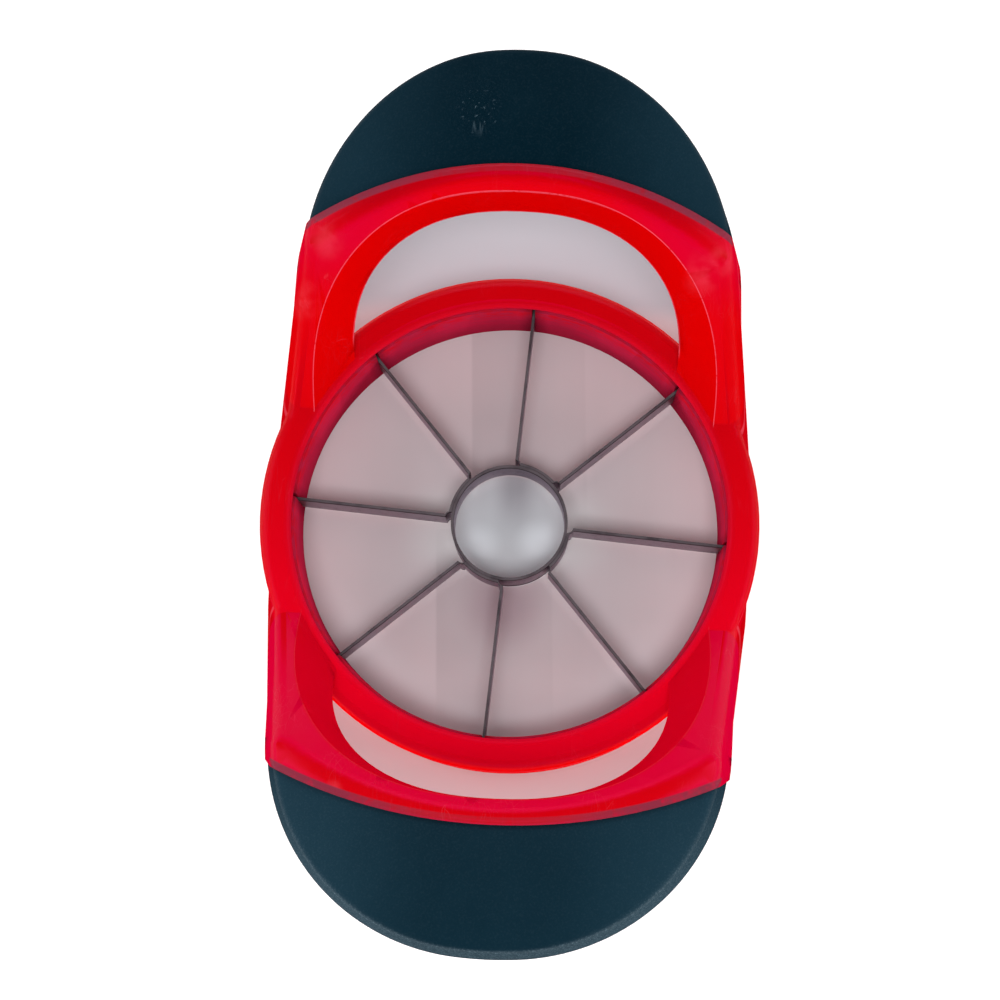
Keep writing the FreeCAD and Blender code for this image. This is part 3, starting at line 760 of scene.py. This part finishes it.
def shaded_floor(tree, x, y):
    """The floor seen through the object, painted greyer in shade, with painted light and shade
    and a cooler disc in the tube.
    """
    radius = radius_of(tree, x, y)
    colour = striped_floor(tree, x, y)
    colour = tint(tree, colour, FLOOR_FAR, fade(tree, y, *FAR_OPENING_MM))
    colour = tint(tree, colour, FLOOR_NEAR, fade(tree, y, *NEAR_OPENING_MM))
    level = fade(tree, unsigned(tree, y), *BESIDE_TUBE_MM)
    beside = times(tree, fade(tree, radius, *ROUND_TUBE_MM), level)
    colour = tint(tree, colour, FLOOR_GREY, beside, strength=0.7)
    front = times(tree, fade(tree, radius, *RING_FRONT_RADIUS_MM), fade(tree, y, *RING_FRONT_MM))
    colour = tint(tree, colour, FLOOR_NEAR, front, strength=0.8)
    # A painted shadow in front of the tube.
    tube_shadow = fade(tree, spot(tree, x, y, *TUBE_SHADOW_PLACE_MM), *TUBE_SHADOW_RADIUS_MM)
    colour = tint(tree, colour, FLOOR_PINK, tube_shadow, strength=0.8)
    return tint(tree, colour, core_floor(tree, x, y), fade(tree, radius, *CORE_RADIUS_MM))


def floor_look():
    """White open floor that keeps its shadows, and the floor under the object, painted greyer in
    shade.
    """
    made = bpy.data.materials.new("floor_look")
    made.use_nodes = True
    tree = made.node_tree
    tree.nodes.clear()
    x, y = places(tree)[1:3]
    beyond = minus(tree, unsigned(tree, minus(tree, y, SHADE_MIDDLE_MM)), SHADE_STRAIGHT_MM)
    away = radius_of(tree, x, most(tree, beyond, 0.0))
    shade = fade(tree, away, *SHADE_RADIUS_MM)
    colour = tint(tree, FLOOR_WHITE, shaded_floor(tree, x, y), shade)
    diffuse = node(tree, "ShaderNodeBsdfDiffuse", {"Color": colour}).outputs[0]
    lift = times(tree, seen(tree), minus(tree, 1.0, shade), FLOOR_LIFT)
    glow = node(tree, "ShaderNodeEmission", {"Strength": lift}).outputs[0]
    both = node(tree, "ShaderNodeAddShader", {0: diffuse, 1: glow}).outputs[0]
    node(tree, "ShaderNodeOutputMaterial", {"Surface": both})
    return made


def build_floor():
    """A pale disc that the object stands on."""
    turns = [math.tau * i / FLOOR_SIDES for i in range(FLOOR_SIDES)]
    ring = [(FLOOR_RADIUS * math.cos(turn), FLOOR_RADIUS * math.sin(turn), 0) for turn in turns]
    mesh = bpy.data.meshes.new("floor")
    mesh.from_pydata(ring, [], [tuple(range(FLOOR_SIDES))])
    mesh.materials.append(floor_look())
    floor = bpy.data.objects.new("floor", mesh)
    floor.location.z = -FLOOR_DROP_MM * MM
    bpy.context.scene.collection.objects.link(floor)


# ---------------------------------------------------------------- light

WORLD_LIGHT = 0.44
MIRROR_LIGHT = 0.80
ZENITH = 0.30

# From how steep a ray's direction the light dims overhead: 1 is straight up.
ZENITH_UP = (0.55, 0.90)

# Each lamp's name, place, sides and power in watts. All of them face the target.
LAMPS = (
    ("front_lamp", (0.0, -0.80, 0.42), (0.7, 0.3), 2.1),
    ("back_lamp", (0.0, 0.80, 0.42), (0.7, 0.3), 3.0),
    ("left_lamp", (-0.80, 0.0, 0.36), (0.7, 0.3), 3.0),
    ("right_lamp", (0.80, 0.0, 0.36), (0.7, 0.3), 3.0),
    ("top_lamp", (0.0, -0.30, 0.95), (0.5, 0.3), 4.5),
)
LAMP_TARGET = Vector((0, 0, 0.03))


def build_world():
    """Even grey light. The camera sees white, and reflections a little less, dimmer overhead."""
    world = bpy.data.worlds.new("studio")
    bpy.context.scene.world = world
    world.use_nodes = True
    tree = world.node_tree
    tree.nodes.clear()
    path = node(tree, "ShaderNodeLightPath").outputs
    direction = node(tree, "ShaderNodeTexCoord").outputs["Generated"]
    up = node(tree, "ShaderNodeSeparateXYZ", {0: direction}).outputs["Z"]
    overhead = fade(tree, up, *ZENITH_UP)
    dimmed = minus(tree, 1.0, times(tree, overhead, 1.0 - ZENITH))
    eye = path["Is Camera Ray"]
    mirror = most(tree, path["Is Glossy Ray"], path["Is Transmission Ray"])
    rest = minus(tree, 1.0, most(tree, eye, mirror))
    total = plus(tree, eye, times(tree, mirror, MIRROR_LIGHT, dimmed))
    total = plus(tree, total, times(tree, rest, WORLD_LIGHT))
    back = node(tree, "ShaderNodeBackground", {"Color": WHITE, "Strength": total}).outputs[0]
    node(tree, "ShaderNodeOutputWorld", {"Surface": back})


def softbox(name, place, sides, power):
    """A large area lamp that faces the object."""
    data = bpy.data.lights.new(name, "AREA")
    data.shape = "RECTANGLE"
    data.size, data.size_y = sides
    data.energy = power
    lamp = bpy.data.objects.new(name, data)
    lamp.location = place
    lamp.rotation_mode = "QUATERNION"
    lamp.rotation_quaternion = (Vector(place) - LAMP_TARGET).to_track_quat("Z", "Y")
    bpy.context.scene.collection.objects.link(lamp)


def build_lights():
    """All the lamps."""
    for name, place, sides, power in LAMPS:
        softbox(name, place, sides, power)


# ---------------------------------------------------------------- camera

CAMERA_LENS_MM = 61.2
CAMERA_DISTANCE = 0.3487
CAMERA_TILT = math.radians(10.08)
CAMERA_ROLL = math.radians(2.35)
CAMERA_YAW = math.radians(-1.09)
CAMERA_ASIDE = 0.0018
CAMERA_ABOVE = -0.00359


def build_camera():
    """Looks down from above the front handle."""
    turn = (
        Matrix.Rotation(CAMERA_ROLL, 3, "Z")
        @ Matrix.Rotation(CAMERA_TILT, 3, "X")
        @ Matrix.Rotation(-CAMERA_YAW, 3, "Y")
    )
    ring_top = Vector((0, 0, RING_TOP_MM * MM))
    place = ring_top + turn @ Vector((-CAMERA_ASIDE, -CAMERA_ABOVE, CAMERA_DISTANCE))
    data = bpy.data.cameras.new("camera")
    data.lens = CAMERA_LENS_MM
    camera = bpy.data.objects.new("camera", data)
    camera.matrix_world = Matrix.Translation(place) @ turn.to_4x4()
    bpy.context.scene.collection.objects.link(camera)
    bpy.context.scene.camera = camera


# ---------------------------------------------------------------- the scene

dress_all()
build_floor()
build_world()
build_lights()
build_camera()
bpy.context.scene.view_settings.view_transform = "Standard"
